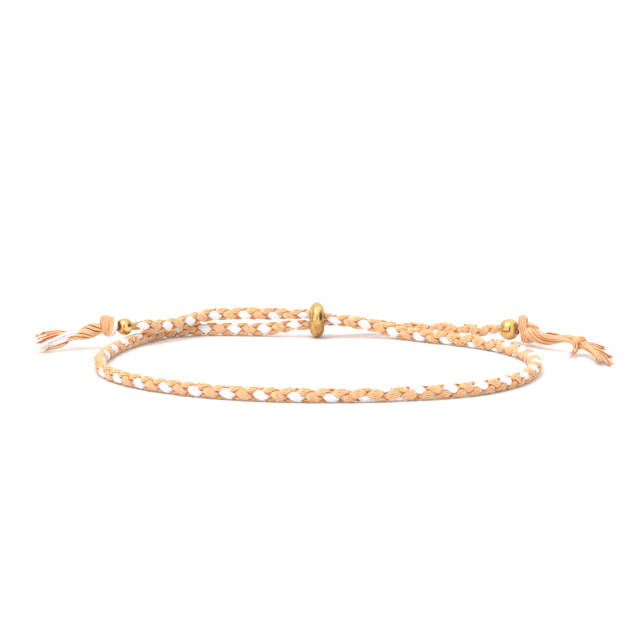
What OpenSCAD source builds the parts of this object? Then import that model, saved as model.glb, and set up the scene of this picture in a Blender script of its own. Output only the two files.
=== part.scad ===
// Braided bracelet with a brass slider and two knotted, frayed ends.
// One cord is braided from four yarns, three apricot and one white.
// It starts at the left end, runs through the slider, once round the wrist loop,
// back through the slider the other way, and stops at the right end.
// X runs to the right, Y away from the viewer and Z up, in millimetres.
// The bracelet lies on the plane z = 0.

/* [Braid] */
// Thickness of the free braid
cord_d = 1.9; // [1.8:0.02:1.92]
// Length along the braid in which one yarn goes round it once
braid_pitch = 4.37; // [4.3:0.01:4.5]
// Share of a turn that the white yarn has made where the braid starts
white_phase = 0.68; // [0:0.01:1]
// Gap between yarns where one crosses the other
yarn_gap = 0.06; // [0.05:0.01:0.07]
// Gap between the two yarns in the braid's middle
core_gap = 0.12; // [0.1:0.01:0.14]
// Width of a yarn's back where it passes over another
yarn_back_w = 0.64; // [0.4:0.02:0.7]

/* [Slider] */
// Outer diameter of the slider ring
slider_d = 5.1; // [4.9:0.05:5.1]
// Width of the slider ring at its hole, along the cords
slider_w = 2.15; // [2:0.05:2.2]
// Diameter of the slider's hole, which holds two squeezed cords side by side
slider_hole_d = 3.2; // [3.2:0.02:3.3]

/* [Stopper beads] */
// Diameter of the left bead
left_bead_d = 2.4; // [2.2:0.05:2.4]
// Diameter of the left bead's hole
left_hole_d = 1.24; // [1.2:0.02:1.3]
// Diameter of the right bead
right_bead_d = 3; // [2.8:0.05:3]
// Diameter of the right bead's hole
right_hole_d = 1.38; // [1.34:0.02:1.44]

/* [Knots and free ends] */
// Thickness of the four yarns together in the left knot
left_bundle_d = 0.94; // [0.88:0.02:0.96]
// Thickness of the four yarns together in the right knot
right_bundle_d = 1.04; // [0.98:0.02:1.06]
// Length of a pulled knot as a share of a loose one's
knot_tight = 0.78; // [0.7:0.02:0.84]
// Thickness of a lock where it leaves its head
lock_d = 0.62; // [0.5:0.02:0.66]
// Thickness of a lock at its tip
lock_tip_d = 0.3; // [0.2:0.02:0.36]

/* [Hidden] */

apricot = [0.96, 0.7, 0.45];
white = [0.97, 0.97, 0.96];
brass = [0.72, 0.56, 0.25];

// Moves the whole bracelet so that its box is centred on the origin
part_shift = [0.47, 21.6, 0];

// Middle of the braid, from the left end to the right end.
// Columns: x, y, z, turn of the yarns in degrees, squeeze as a share of cord_d.
ROUTE = [
    // Left tail, through the left bead and down off the wrist loop
    [-28.26, -8.19, 2.99, 0, 0.58],
    [-27.3, -7.9, 2.95, 0, 0.58],
    [-26.1, -7.4, 2.92, 0, 0.6],
    [-24.4, -6.2, 2.85, 0, 0.94],
    [-22.2, -4, 2.4, 0, 1],
    [-19.1, -0.8, 2.5, 0, 1],
    [-17.3, 0.6, 2.8, 0, 1],
    [-15.2, 1.4, 3.05, 10, 1],
    [-11, 1.5, 3.2, 20, 1],
    [-7, 1, 3.25, 30, 1],
    // Through the slider, passing from above the other cord to its front
    [-3.8, 0.2, 3.34, 30, 0.84],
    [-1.5, 0, 3.34, 20, 0.8],
    [0, -0.44, 3.2, 15, 0.8],
    [1.5, -0.74, 2.82, 15, 0.8],
    [3.5, -0.7, 2.45, 10, 0.9],
    // Down to the surface and round the right side of the wrist loop
    [6.3, -0.6, 2.05, 0, 1],
    [8.6, -0.8, 1.6, 0, 1],
    [10.6, -1.4, 1.1, 5, 1],
    [12.8, -2.6, 0.97, 15, 1],
    [15, -4.2, 0.97, 26, 1],
    [18, -6, 0.97, 40, 1],
    [21, -8, 0.97, 62, 1],
    [24, -10.8, 0.97, 90, 1],
    [26.4, -14.3, 0.97, 108, 1],
    [27.9, -18, 0.97, 100, 1],
    [28.6, -22, 0.97, 76, 1],
    [28.6, -26, 0.97, 58, 1],
    [27.8, -30, 0.97, 48, 1],
    [26.2, -34, 0.97, 42, 1],
    [23.5, -37.8, 0.97, 42, 1],
    [19.8, -41, 0.97, 45, 1],
    // Front of the wrist loop, where the braid is rolled a quarter turn
    [15, -43.2, 0.97, 50, 1],
    [10, -44.4, 0.97, 80, 1],
    [5, -45.2, 0.97, 118, 1],
    [0, -45.4, 0.97, 152, 1],
    [-5, -45, 0.97, 166, 1],
    [-10, -44, 0.97, 168, 1],
    [-15, -42.2, 0.97, 168, 1],
    // Left side of the wrist loop and back to the slider
    [-19.6, -39.6, 0.97, 168, 1],
    [-23.6, -36.4, 0.97, 168, 1],
    [-26.8, -32.4, 0.97, 168, 1],
    [-28.8, -28, 0.97, 166, 1],
    [-29.5, -23.4, 0.97, 172, 1],
    [-29.3, -19, 0.97, 168, 1],
    [-28.5, -14.6, 0.97, 154, 1],
    [-27.2, -10.2, 0.97, 126, 1],
    [-25.4, -6.2, 0.97, 104, 1],
    [-23.4, -2.4, 0.97, 112, 1],
    [-20.6, 0.2, 0.97, 138, 1],
    [-17, 1.3, 0.97, 158, 1],
    [-13, 1.3, 0.97, 166, 1],
    [-9, 1, 0.98, 170, 1],
    [-6, 0.5, 1.3, 168, 1],
    // Through the slider again, from below the other cord to behind it
    [-3.8, 0.2, 1.7, 160, 0.84],
    [-1.5, 0, 1.76, 160, 0.8],
    [0, 0.44, 1.9, 170, 0.8],
    [1.5, 0.74, 2.28, 175, 0.8],
    [3.5, 1.4, 2.2, 184, 0.9],
    // Right tail, lying behind the wrist loop, and up through the right bead
    [6, 2.1, 1.7, 200, 1],
    [9, 2.2, 1.2, 222, 1],
    [12, 2.1, 0.97, 244, 1],
    [16, 1.9, 0.97, 262, 1],
    [19.5, 1.4, 0.97, 272, 1],
    [22.2, -0.6, 1.16, 276, 1],
    [24, -2.9, 1.6, 276, 0.94],
    [25.3, -4.15, 1.94, 276, 0.65],
    [26.7, -4.85, 2.02, 276, 0.64],
    [27.9, -5.39, 2.08, 276, 0.64]
];

// Steps into which each stretch between two route points is split
FINE_STEPS = 12;
// Rings of a yarn in one turn of the braid
RINGS_PER_TURN = 8;
// Half of the stretch over which the route's direction is measured
LOOK = 0.1;

// The braid fills a round section. Where yarns cross, the section is four layers: a yarn
// over, two under, and one over on the far side. Half way between two crossings each
// yarn fills a quarter.
cord_r = cord_d / 2;
half_gap = yarn_gap / 2;
layer = cord_r / 2;

// Half the length of a chord of the section at a distance from its middle
function half_chord(r) = sqrt(cord_r * cord_r - r * r);

// A yarn's four corners at each kind of ring: outward from the braid's middle, then the
// way the yarn is going round. Their order lets each corner run on to the next ring.
back_r = half_chord(yarn_back_w / 2);
over_r = layer + half_gap;
under_r = layer - half_gap;
over_w = half_chord(over_r);
under_w = half_chord(under_r);
core_r = core_gap / 2;
core_w = half_chord(core_r);
OVER = [[over_r, -over_w], [back_r, -yarn_back_w / 2], [back_r, yarn_back_w / 2], [over_r, over_w]];
UNDER = [[core_r, core_w], [core_r, -core_w], [under_r, -under_w], [under_r, under_w]];
// Corners of a quarter: the ends of its two straight sides, and the tip between them,
// which keeps back from the yarn that goes over next
edge_w = half_chord(half_gap);
arm_r = (edge_w + half_gap) * cos(45);
arm_w = (edge_w - half_gap) * cos(45);
tip_r = core_r + half_gap;
tip_w = yarn_gap * cos(45);
LEAVING = [[arm_r, -arm_w], [cord_r, 0], [arm_r, arm_w], [tip_r, -tip_w]];
COMING = [[cord_r, 0], [arm_r, arm_w], [tip_r, tip_w], [arm_r, -arm_w]];
// The rings of one half turn from a crossing over, and of the next half turn, which the
// corners reach in another order
KINDS = [OVER, LEAVING, UNDER, COMING];
KINDS_AGAIN = [for (kind = KINDS) [kind[2], kind[3], kind[0], kind[1]]];
ALL_KINDS = concat(KINDS, KINDS_AGAIN);

// Places of the brass pieces on the route
slider_pos = [-0.43, 0, slider_d / 2];
LEFT_BEAD_ROW = 1;
RIGHT_BEAD_ROW = len(ROUTE) - 2;

// One overhand knot, in bundle diameters. It starts at the bead, runs along +X
// inside the wrap, turns back, wraps once round itself and leaves through the wrap.
// Columns: x, y, z. The wrap is an oval, wide along z.
KNOT = [
    [-0.75, 0, 0],
    [-0.2, 0, -0.3],
    [0.7, 0, -0.52],
    [1.45, 0.3, -0.58],
    [1.72, 0.98, -0.15],
    [1.42, 1.05, 0.8],
    [1.12, 0.38, 1.52],
    [0.94, -0.62, 1.36],
    [0.78, -1.07, 0.4],
    [0.56, -1.02, -0.75],
    [0.3, -0.25, -1.56],
    [0, 0.72, -1.2],
    [-0.3, 1.08, -0.15],
    [-0.22, 0.62, 0.7],
    [0.45, 0.04, 0.6],
    [1.3, -0.1, 0.56],
    [2.1, 0, 0.4]
];
KNOT_STEPS = 2;
KNOT_SIDES = 6;

// Where each knot starts, the turns about X, Y and Z that lead it away from its bead,
// and the roll of its wrap about that way
LEFT_KNOT_POS = [-28.48, -8.26, 3];
LEFT_KNOT_TURN = [0, -4, 199];
LEFT_KNOT_ROLL = 90;
RIGHT_KNOT_POS = [28.14, -5.55, 2.12];
RIGHT_KNOT_TURN = [0, -10, -47];
RIGHT_KNOT_ROLL = 0;

// Heads of the free ends: the gathered yarns, from the knot outwards.
// Columns: x, y, z, thickness.
LEFT_HEAD = [
    [-31.02, -9, 2.9, 1.5],
    [-31.8, -8.95, 2.6, 2],
    [-32.9, -9.1, 2.1, 2],
    [-34.4, -9.8, 1.25, 1.5],
    [-35.8, -10.6, 0.8, 1.1]
];
RIGHT_HEAD = [
    [29.66, -7.8, 1.78, 1.5],
    [30.9, -9.1, 1.6, 1.85],
    [31.9, -10, 1.65, 1.8],
    [33, -11, 1.9, 1.5],
    [34.4, -12.2, 2, 1.3],
    [35.5, -13.3, 1.85, 1.9],
    [36.2, -14.2, 1.6, 1.6],
    [36.6, -15.1, 1.3, 1]
];
// Locks that fan out of each head. Columns: start x, y, z, middle x, y, z, tip x, y, z.
LEFT_LOCKS = [
    [-35, -10.1, 1, -36.7, -11.1, 0.6, -38.2, -12.1, 0.3],
    [-34, -9.4, 1.9, -36.5, -10.5, 1.5, -38.9, -11.4, 0.3],
    [-33.8, -9, 1.9, -37, -7.4, 1.6, -40, -7.2, 0.35],
    [-33.8, -9, 1.9, -37.2, -5.8, 1.8, -40.6, -4, 0.8]
];
RIGHT_LOCKS = [
    [35.4, -13.4, 1.6, 35.1, -14.7, 1, 34.5, -15.6, 0.4],
    [35.6, -13.6, 1.6, 37.6, -13.8, 1.4, 39.4, -14, 0.6],
    [36, -14.2, 1.5, 37.4, -18.6, 0.8, 37.5, -22.4, 0.35],
    [36.2, -14.2, 1.5, 38, -18.4, 0.9, 39, -22.8, 0.35],
    [36, -14.2, 1.5, 38.2, -17, 1.2, 39.6, -20.4, 0.4]
];
HEAD_STEPS = 2;
HEAD_SIDES = 6;
LOCK_STEPS = 3;
LOCK_SIDES = 5;

// A way that no tube here runs along, from which a tube's corners are set out
SET_OUT = [0.1, 0.2, 1];

// Point at share t of the stretch from b to c of a smooth curve through a, b, c, d
function curve(a, b, c, d, t) =
    (2 * b + (c - a) * t + (2 * a - 5 * b + 4 * c - d) * t * t
     + (3 * b - a - 3 * c + d) * t * t * t) / 2;

// Smooth curve through the points, each stretch split into the given steps
function smooth(points, steps) =
    let (last = len(points) - 1,
         run = concat([2 * points[0] - points[1]], points, [2 * points[last] - points[last - 1]]))
    concat([for (i = [0 : last - 1]) for (k = [0 : steps - 1])
                curve(run[i], run[i + 1], run[i + 2], run[i + 3], k / steps)],
           [points[last]]);

function place(row) = [row[0], row[1], row[2]];
function unit(v) = v / norm(v);

// The whole route in fine steps, and the length along it at each step
fine = smooth(ROUTE, FINE_STEPS);
along = [for (i = 0, sum = 0; i < len(fine); i = i + 1,
              sum = sum + (i < len(fine) ? norm(place(fine[i]) - place(fine[i - 1])) : 0)) sum];
route_len = along[len(along) - 1];
by_length = [for (c = [0 : 4]) [for (i = [0 : len(fine) - 1]) [along[i], fine[i][c]]]];

// Row of the route at a length along it
function at(s) = [for (c = [0 : 4]) lookup(s, by_length[c])];

// Turn of the braid in degrees at a length, and the length at a turn
first_ring = ceil(RINGS_PER_TURN * white_phase);
last_ring = floor(RINGS_PER_TURN * (white_phase + route_len / braid_pitch));
function length_at_ring(i) = braid_pitch * (i / RINGS_PER_TURN - white_phase);

// Cross-sections of the route at every ring: middle, outward way, upward way, ring, roll,
// size
SECTIONS = [for (i = [first_ring : last_ring])
    let (s = length_at_ring(i),
         row = at(s),
         ahead = unit(place(at(s + LOOK)) - place(at(s - LOOK))),
         side = unit([-ahead[1], ahead[0], 0]),
         rise = cross(ahead, side))
    [place(row), side, rise, i, row[3], row[4]]];

// Kind of a yarn's ring, counted from a crossing over. hand is 1 for yarns that wind one
// way and pass over at even quarter turns, and -1 for those that wind the other way and
// pass over at odd ones.
function kind_number(ring, hand) = (ring + (hand > 0 ? 0 : RINGS_PER_TURN / 4)) % RINGS_PER_TURN;

// The four corners of a yarn in one cross-section. start is the yarn's own angle.
function yarn_ring(section, hand, start) =
    let (ring = section[3],
         roll = section[4],
         size = section[5],
         first = cos(roll) * section[1] + sin(roll) * section[2],
         second = cos(roll) * section[2] - sin(roll) * section[1],
         angle = hand * 360 * ring / RINGS_PER_TURN + start,
         out = cos(angle) * first + sin(angle) * second,
         onward = hand * (cos(angle) * second - sin(angle) * first))
    [for (c = ALL_KINDS[kind_number(ring, hand)]) section[0] + size * (c[0] * out + c[1] * onward)];

// Closed skin over a list of rings that all have the same number of corners. Each
// patch is split from its first corner where lean(ring, side) is true. The faces are
// turned round where the corners run clockwise.
module skin(rings, lean = function(i, j) true, clockwise = false) {
    sides = len(rings[0]);
    top = (len(rings) - 1) * sides;
    points = [for (ring = rings) for (p = ring) p];
    walls = [for (i = [0 : len(rings) - 2]) for (j = [0 : sides - 1])
        let (a = i * sides + j, b = i * sides + (j + 1) % sides)
        each (lean(i, j) ? [[a, a + sides, b + sides], [a, b + sides, b]]
                         : [[a, a + sides, b], [b, a + sides, b + sides]])];
    bottom_cap = [for (j = [1 : sides - 2]) [0, j, j + 1]];
    top_cap = [for (j = [1 : sides - 2]) [top, top + j + 1, top + j]];
    faces = concat(walls, bottom_cap, top_cap);
    polyhedron(points = points, faces = clockwise ? [for (f = faces) [f[2], f[1], f[0]]] : faces);
}

// Directions along a line of points, and side directions that turn as little as they can
function ways(points) = [for (i = [0 : len(points) - 1])
    unit(points[min(i + 1, len(points) - 1)] - points[max(i - 1, 0)])];
function flatten_to(v, way) = unit(v - (v * way) * way);

// Rings of a round tube through rows of x, y, z and thickness
function tube_rings(rows, sides) =
    let (points = [for (row = rows) place(row)],
         way = ways(points),
         side = [for (i = 0, v = flatten_to(SET_OUT, way[0]); i < len(rows); i = i + 1,
                      v = i < len(rows) ? flatten_to(v, way[i]) : v) v])
    [for (i = [0 : len(rows) - 1])
        let (up = side[i], over = cross(way[i], up))
        [for (j = [0 : sides - 1])
            let (angle = 360 * j / sides)
            points[i] + rows[i][3] / 2 * (cos(angle) * up + sin(angle) * over)]];

// Side that a yarn turns towards the yarn over it, on either half turn
SIDE_UNDER = [2, 0];

// One yarn of the braid. Its patches are split so that they stand proud, but the side
// under another yarn follows that yarn's edge.
module yarn(hand, start) {
    half_turn = RINGS_PER_TURN / 2;
    skin([for (section = SECTIONS) yarn_ring(section, hand, start)],
         function(i, j)
             let (kind = kind_number(first_ring + i, hand),
                  past = kind % half_turn)
             past > 0 && past < half_turn - 1 && j != SIDE_UNDER[floor(kind / half_turn)],
         hand < 0);
}

module apricot_strand_1() {
    color(apricot) translate(part_shift) yarn(1, 180);
}

module apricot_strand_2() {
    color(apricot) translate(part_shift) yarn(-1, 0);
}

module apricot_strand_3() {
    color(apricot) translate(part_shift) yarn(-1, 180);
}

module white_strand() {
    color(white) translate(part_shift) yarn(1, 0);
}

// Ring with an oval outer profile and a straight hole along X
module brass_slider() {
    outer_r = slider_d / 2;
    hole_r = slider_hole_d / 2;
    edge = acos(hole_r / outer_r);
    steps = 12;
    // Half the width that the oval would have at the middle of the hole
    half_w = slider_w / 2 / sin(edge);
    profile = [for (i = [-steps : steps])
        let (angle = edge * i / steps)
        [outer_r * cos(angle), half_w * sin(angle)]];
    color(brass) translate(part_shift + slider_pos) rotate([0, 90, 0])
        rotate_extrude($fn = 96) polygon(profile);
}

// Drilled ball on the route, its hole along the route
module stopper_bead(row, bead_d, hole_d) {
    ahead = unit(place(ROUTE[row + 1]) - place(ROUTE[row - 1]));
    tilt = acos(ahead[2]);
    heading = atan2(ahead[1], ahead[0]);
    color(brass) translate(part_shift + place(ROUTE[row])) rotate([0, tilt, heading])
        difference() {
            sphere(d = bead_d, $fn = 64);
            cylinder(d = hole_d, h = 2 * bead_d, center = true, $fn = 48);
        }
}

module stopper_bead_left() {
    stopper_bead(LEFT_BEAD_ROW, left_bead_d, left_hole_d);
}

module stopper_bead_right() {
    stopper_bead(RIGHT_BEAD_ROW, right_bead_d, right_hole_d);
}

// Overhand knot in the bundle of yarns
module overhand_knot(pos, turn, roll, bundle_d, mirrored) {
    flip = mirrored ? -1 : 1;
    rows = [for (p = smooth(KNOT, KNOT_STEPS))
        bundle_d * [p[0] - KNOT[0][0], p[1], flip * p[2], 1]];
    color(apricot) translate(part_shift + pos) rotate(turn) rotate([roll, 0, 0])
        scale([knot_tight, 1, 1]) skin(tube_rings(rows, KNOT_SIDES));
}

module knot_left() {
    overhand_knot(LEFT_KNOT_POS, LEFT_KNOT_TURN, LEFT_KNOT_ROLL, left_bundle_d, false);
}

module knot_right() {
    overhand_knot(RIGHT_KNOT_POS, RIGHT_KNOT_TURN, RIGHT_KNOT_ROLL, right_bundle_d, true);
}

// Frayed end: a head of gathered yarn with tapering locks fused into it
module free_end(head, locks) {
    translate(part_shift) union() {
        skin(tube_rings(smooth(head, HEAD_STEPS), HEAD_SIDES));
        for (lock = locks) {
            rows = [[lock[0], lock[1], lock[2], lock_d],
                    [lock[3], lock[4], lock[5], lock_d],
                    [lock[6], lock[7], lock[8], lock_tip_d]];
            skin(tube_rings(smooth(rows, LOCK_STEPS), LOCK_SIDES));
        }
    }
}

module free_end_left() {
    color(apricot) free_end(LEFT_HEAD, LEFT_LOCKS);
}

module free_end_right() {
    color(apricot) free_end(RIGHT_HEAD, RIGHT_LOCKS);
}

apricot_strand_1();
apricot_strand_2();
apricot_strand_3();
white_strand();
brass_slider();
stopper_bead_left();
stopper_bead_right();
knot_left();
knot_right();
free_end_left();
free_end_right();
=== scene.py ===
# %% [markdown]
# A braided cotton bracelet lies open on a white table. One round braid of three apricot
# yarns and a white one runs round the wrist loop, both of its ends slip through a brass
# ring, and each end carries a brass bead, a knot and a frayed tail. The frame holds the
# plain solids, and the pieces made here stand in for them. This lesson spins the yarns out
# of single threads, turns the brass parts and lights the table.

import math

import bpy
import numpy as np
from mathutils import Euler, Matrix, Vector


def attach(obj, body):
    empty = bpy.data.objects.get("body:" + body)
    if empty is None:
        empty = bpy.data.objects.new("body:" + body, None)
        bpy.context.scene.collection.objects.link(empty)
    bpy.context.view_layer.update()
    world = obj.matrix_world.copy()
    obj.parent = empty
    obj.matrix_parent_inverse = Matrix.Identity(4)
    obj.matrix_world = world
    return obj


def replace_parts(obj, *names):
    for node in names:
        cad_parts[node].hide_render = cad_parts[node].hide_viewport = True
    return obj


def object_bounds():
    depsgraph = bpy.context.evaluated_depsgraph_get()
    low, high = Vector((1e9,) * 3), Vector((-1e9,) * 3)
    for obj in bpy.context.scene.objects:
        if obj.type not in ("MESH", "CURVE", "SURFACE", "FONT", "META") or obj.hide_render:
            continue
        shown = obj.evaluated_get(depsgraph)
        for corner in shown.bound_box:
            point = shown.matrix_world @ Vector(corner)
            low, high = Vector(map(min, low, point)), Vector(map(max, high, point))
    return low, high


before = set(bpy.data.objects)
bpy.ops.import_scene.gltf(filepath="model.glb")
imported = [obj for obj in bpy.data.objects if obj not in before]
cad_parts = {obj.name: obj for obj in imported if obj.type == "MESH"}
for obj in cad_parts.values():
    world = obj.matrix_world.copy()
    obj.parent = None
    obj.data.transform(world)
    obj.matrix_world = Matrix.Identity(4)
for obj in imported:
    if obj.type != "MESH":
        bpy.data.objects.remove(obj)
cad_low, cad_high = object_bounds()
MM = 0.001
scene = bpy.context.scene
cad_size = [round(v / MM, 1) for v in cad_high - cad_low]
print("frame of", len(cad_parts), "pieces, size in mm", cad_size)

# %% [markdown]
# The photograph looks along the table from ten degrees above it, through a long lens, so
# the loop shows as a flat oval. The camera stands where the loop's near and far sides have
# the sizes that they have there, and it is made first because it needs nothing else.

# %% Camera
CAMERA_PLACE = (0.47, -328.55, 64.24)
CAMERA_TILT = 80
LENS = 140
SENSOR_WIDTH = 36
NEAR, FAR = 0.01, 50
lens = bpy.data.cameras.new("camera")
lens.lens = LENS
lens.sensor_width = SENSOR_WIDTH
lens.clip_start = NEAR
lens.clip_end = FAR
camera = bpy.data.objects.new("camera", lens)
camera.location = Vector(CAMERA_PLACE) * MM
camera.rotation_euler = (math.radians(CAMERA_TILT), 0, 0)
scene.collection.objects.link(camera)
scene.camera = camera
scene.view_settings.view_transform = "Standard"
print("camera is", round(-CAMERA_PLACE[1]), "mm in front of the bracelet's middle")

# %% [markdown]
# Shader maths reads best as plain expressions. This small class wraps a node's output, and
# each operator adds the Math node for it. Colours and vectors have calls of their own,
# because a Math node turns a colour grey.


# %% A socket with operators
class Socket:
    def __init__(self, tree, link):
        self.tree = tree
        self.link = link

    def math(self, operation, *others, clamp=False):
        settings = {"operation": operation, "use_clamp": clamp}
        return self.node("ShaderNodeMath", settings, (self, *others))

    def node(self, kind, settings=None, inputs=(), out=0):
        made = self.tree.nodes.new(kind)
        for key, value in (settings or {}).items():
            if key == "stops":
                set_stops(made.color_ramp, value)
            else:
                setattr(made, key, value)
        pairs = inputs.items() if isinstance(inputs, dict) else enumerate(inputs)
        for key, value in pairs:
            if isinstance(value, Socket):
                self.tree.links.new(value.link, made.inputs[key])
            else:
                made.inputs[key].default_value = value
        return Socket(self.tree, made.outputs[out])

    def __add__(self, other):
        return self.math("ADD", other)

    def __sub__(self, other):
        return self.math("SUBTRACT", other)

    def __mul__(self, other):
        return self.math("MULTIPLY", other)

    def __rsub__(self, other):
        return self.node("ShaderNodeMath", {"operation": "SUBTRACT"}, (other, self))


# Where a Mix node has its factor, its two colours and its result
MIX_FACTOR, MIX_LOW, MIX_HIGH, MIX_RESULT = 0, 6, 7, 2
# Outputs of a Texture Coordinate node
GENERATED, OBJECT = 0, 3


def set_stops(ramp, stops):
    while len(ramp.elements) < len(stops):
        ramp.elements.new(1)
    for element, (place, colour) in zip(ramp.elements, stops):
        element.position = place
        element.color = colour


def mix(factor, low, high):
    """Colour between two colours, which may be values or sockets."""
    settings = {"data_type": "RGBA", "clamp_factor": True}
    inputs = {MIX_FACTOR: factor, MIX_LOW: low, MIX_HIGH: high}
    return factor.node("ShaderNodeMix", settings, inputs, out=MIX_RESULT)


def vector(x, y, z):
    first = next(v for v in (x, y, z) if isinstance(v, Socket))
    return first.node("ShaderNodeCombineXYZ", {}, (x, y, z))


def split(place):
    """The three parts of a vector."""
    return [place.node("ShaderNodeSeparateXYZ", {}, {"Vector": place}, out=i) for i in range(3)]


def noise(place, scale, detail=2.0, rough=0.5):
    inputs = {"Vector": place, "Scale": scale, "Detail": detail, "Roughness": rough}
    return place.node("ShaderNodeTexNoise", {"noise_dimensions": "3D"}, inputs)


def bump(height, strength, depth):
    inputs = {"Strength": strength, "Distance": depth, "Height": height}
    return height.node("ShaderNodeBump", {}, inputs)


def finish_named(name, constants):
    """A material with its shader, whose constants are set on the shader's own sockets."""
    material = bpy.data.materials.new(name)
    material.use_nodes = True
    shader = material.node_tree.nodes["Principled BSDF"]
    for key, value in constants.items():
        shader.inputs[key].default_value = value
    return material, Socket(material.node_tree, None), shader


def drive(shader, key, value):
    value.tree.links.new(value.link, shader.inputs[key])


print("shader helpers ready")

# %% [markdown]
# A cotton yarn is soft and matt. Each of its threads is two plies twisted together, so a
# thread has helical grooves, and fine fibres run along it. The thread's own map gives both:
# one way is the length in millimetres, the other is once round the thread, from its outer
# side. Shade is painted into the colour, darker in the grooves and where threads lie against
# each other. The colour also drifts slowly along the yarn, as hand-dyed cotton does.

# %% Cotton
PLIES = 2
PLY_LAY = 0.95
GROOVE_EDGE = 3
GROOVE_DEPTH = 0.22
FIBRE_DEPTH = 0.5
BUMP_DEPTH = 0.06
# Steps of the fibre pattern along a thread for each mm, across the plies and round the thread
FIBRES_ALONG, FIBRES_ACROSS, FIBRES_ROUND = 1.6, 9, 0.5
# What the painted light on a ply ridge and the fibres' own tone add to how light the yarn is
RIDGE_PAINTED_LIGHT, FIBRE_LIGHT, BASE_LIGHT = 0.25, 0.8, 0.03
# Steps of the drifting colour for each mm and from one thread to the next, and its contrast
DRIFT_ALONG, DRIFT_APART = 0.16, 3.1
DRIFT_GAIN, DRIFT_START = 2.4, -0.8
# How fast the painted shade deepens the colour from a thread's outer side towards its neighbours
CREVICE_SHADE_GAIN, CREVICE_SHADE_START = 9.0, -0.4


def cotton(name, ridge_light_and_pale_fibres, groove_shade_and_dark_fibres, drifted_dye_and_groove_shade, crevice_shade):
    material, start, shader = finish_named(name, {
        "Roughness": 0.86,
        "Specular IOR Level": 0.2,
        "Sheen Weight": 0.3,
        "Sheen Roughness": 0.5,
        "Subsurface Weight": 0.3,
        "Subsurface Radius": (1.0, 0.6, 0.35),
        "Subsurface Scale": 0.2 * MM,
    })
    along, around, _ = split(start.node("ShaderNodeUVMap", {"uv_map": "thread"}))
    plies = along * (1 / PLY_LAY) + around * PLIES
    ridge = 1 - (plies.math("FRACT") * 2 - 1).math("ABSOLUTE").math("POWER", GROOVE_EDGE)
    grain = vector(along * FIBRES_ALONG, plies * FIBRES_ACROSS, around * FIBRES_ROUND)
    fibres = noise(grain, 1.0, detail=3)
    slow = noise(vector(along * DRIFT_ALONG, around.math("FLOOR") * DRIFT_APART, 0.0), 1.0)
    ridge_shade_and_fibre_tone = (ridge * RIDGE_PAINTED_LIGHT + fibres * FIBRE_LIGHT).math("ADD", BASE_LIGHT, clamp=True)
    drifting = slow.math("MULTIPLY_ADD", DRIFT_GAIN, DRIFT_START, clamp=True)
    # Painted shade: darker in the ply grooves and lighter on the ridges, mixed with the fibres' own
    # tone
    colour = mix(drifting, mix(ridge_shade_and_fibre_tone, groove_shade_and_dark_fibres, ridge_light_and_pale_fibres), mix(ridge_shade_and_fibre_tone, drifted_dye_and_groove_shade, ridge_light_and_pale_fibres))
    # Painted shade on the sides where a thread lies against its neighbours
    inward = ((around + 0.5).math("FRACT") - 0.5).math("ABSOLUTE")
    crevice_shade_mask = inward.math("MULTIPLY_ADD", CREVICE_SHADE_GAIN, CREVICE_SHADE_START, clamp=True)
    drive(shader, "Base Color", mix(crevice_shade_mask, colour, crevice_shade))
    drive(shader, "Normal", bump(ridge * GROOVE_DEPTH + fibres * FIBRE_DEPTH, 1.0, BUMP_DEPTH * MM))
    return material


apricot_cotton = cotton(
    "apricot_cotton",
    ridge_light_and_pale_fibres=(0.99, 0.70, 0.43, 1),
    groove_shade_and_dark_fibres=(0.92, 0.50, 0.23, 1),
    drifted_dye_and_groove_shade=(0.96, 0.60, 0.32, 1),
    crevice_shade=(0.66, 0.23, 0.06, 1),
)
white_cotton = cotton(
    "white_cotton",
    ridge_light_and_pale_fibres=(0.97, 0.965, 0.96, 1),
    groove_shade_and_dark_fibres=(0.93, 0.91, 0.91, 1),
    drifted_dye_and_groove_shade=(0.94, 0.92, 0.93, 1),
    crevice_shade=(0.90, 0.84, 0.83, 1),
)
print("cotton made for", apricot_cotton.name, "and", white_cotton.name)

# %% [markdown]
# The braid follows one line round the bracelet. Its points are the same round numbers that
# the part is built from, in millimetres: where the line runs, how far the yarns are rolled
# about it, and how much it is squeezed in the brass parts.

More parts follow.
